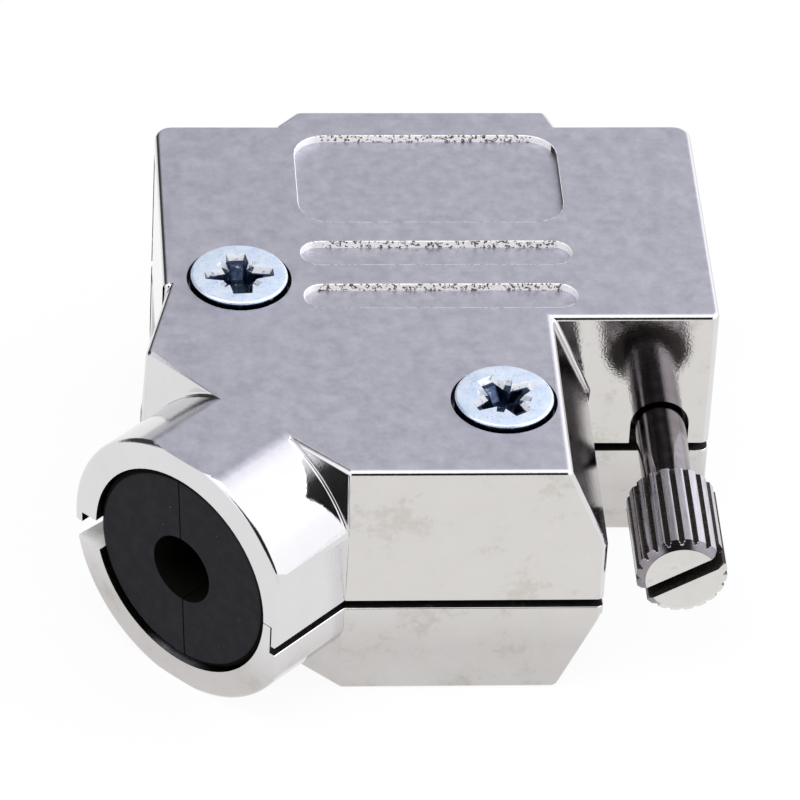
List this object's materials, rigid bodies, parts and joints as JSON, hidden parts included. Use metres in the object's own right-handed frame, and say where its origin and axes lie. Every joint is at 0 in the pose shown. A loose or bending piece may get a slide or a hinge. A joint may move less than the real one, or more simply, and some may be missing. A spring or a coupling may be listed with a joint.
{
  "type": "cable-mount d-sub connector with angled hood",
  "caption": "Die-cast metal D-sub cable connector with a slanted cable collar, split rubber grommet and captive thumbscrews.",
  "frame": {"origin": "middle of the line between the two thumbscrew axes, in the plane of the mating face", "axes": "+Y out of the mating face, +Z towards the assembly screw heads, +X towards the long thumbscrew"},
  "size_m": [0.0357, 0.0408, 0.0156],
  "materials": {
    "nickel": "satin nickel plate",
    "zinc_screw": "bluish zinc plate",
    "thumb_steel": "dark nickel plate",
    "spring_steel": "oiled",
    "rubber": "matt",
    "tinned_steel": "tin plate",
    "insulator": "moulded glass-filled plastic",
    "contact_gold": "gold flash"
  },
  "bodies": {
    "hood": {"upper_shell": "nickel", "lower_shell": "nickel", "assembly_screw_left": "zinc_screw", "assembly_screw_right": "zinc_screw", "grommet_half_left": "rubber", "grommet_half_right": "rubber", "connector_front_shell": "tinned_steel", "connector_rear_shell": "tinned_steel", "front_insulator": "insulator", "rear_insulator": "insulator", "contact_1": "contact_gold", "contact_2": "contact_gold", "contact_3": "contact_gold", "contact_4": "contact_gold", "contact_5": "contact_gold", "contact_6": "contact_gold", "contact_7": "contact_gold", "contact_8": "contact_gold", "contact_9": "contact_gold"},
    "ring_right": {"retaining_ring_right": "spring_steel"},
    "screw_right": {"thumbscrew_right": "thumb_steel"},
    "ring_left": {"retaining_ring_left": "spring_steel"},
    "screw_left": {"thumbscrew_left": "thumb_steel"}
  },
  "joints": [
    {"name": "right_slide", "type": "slide", "parent": "hood", "child": "ring_right", "axis": [0, 1, 0], "range_m": [0, 0.0042]},
    {"name": "right_turn", "type": "hinge", "parent": "ring_right", "child": "screw_right", "pos_m": [0.0125, 0, 0], "axis": [0, 1, 0], "continuous": true},
    {"name": "left_slide", "type": "slide", "parent": "hood", "child": "ring_left", "axis": [0, 1, 0], "range_m": [0, 0.0042]},
    {"name": "left_turn", "type": "hinge", "parent": "ring_left", "child": "screw_left", "pos_m": [-0.0125, 0, 0], "axis": [0, 1, 0], "continuous": true}
  ]
}
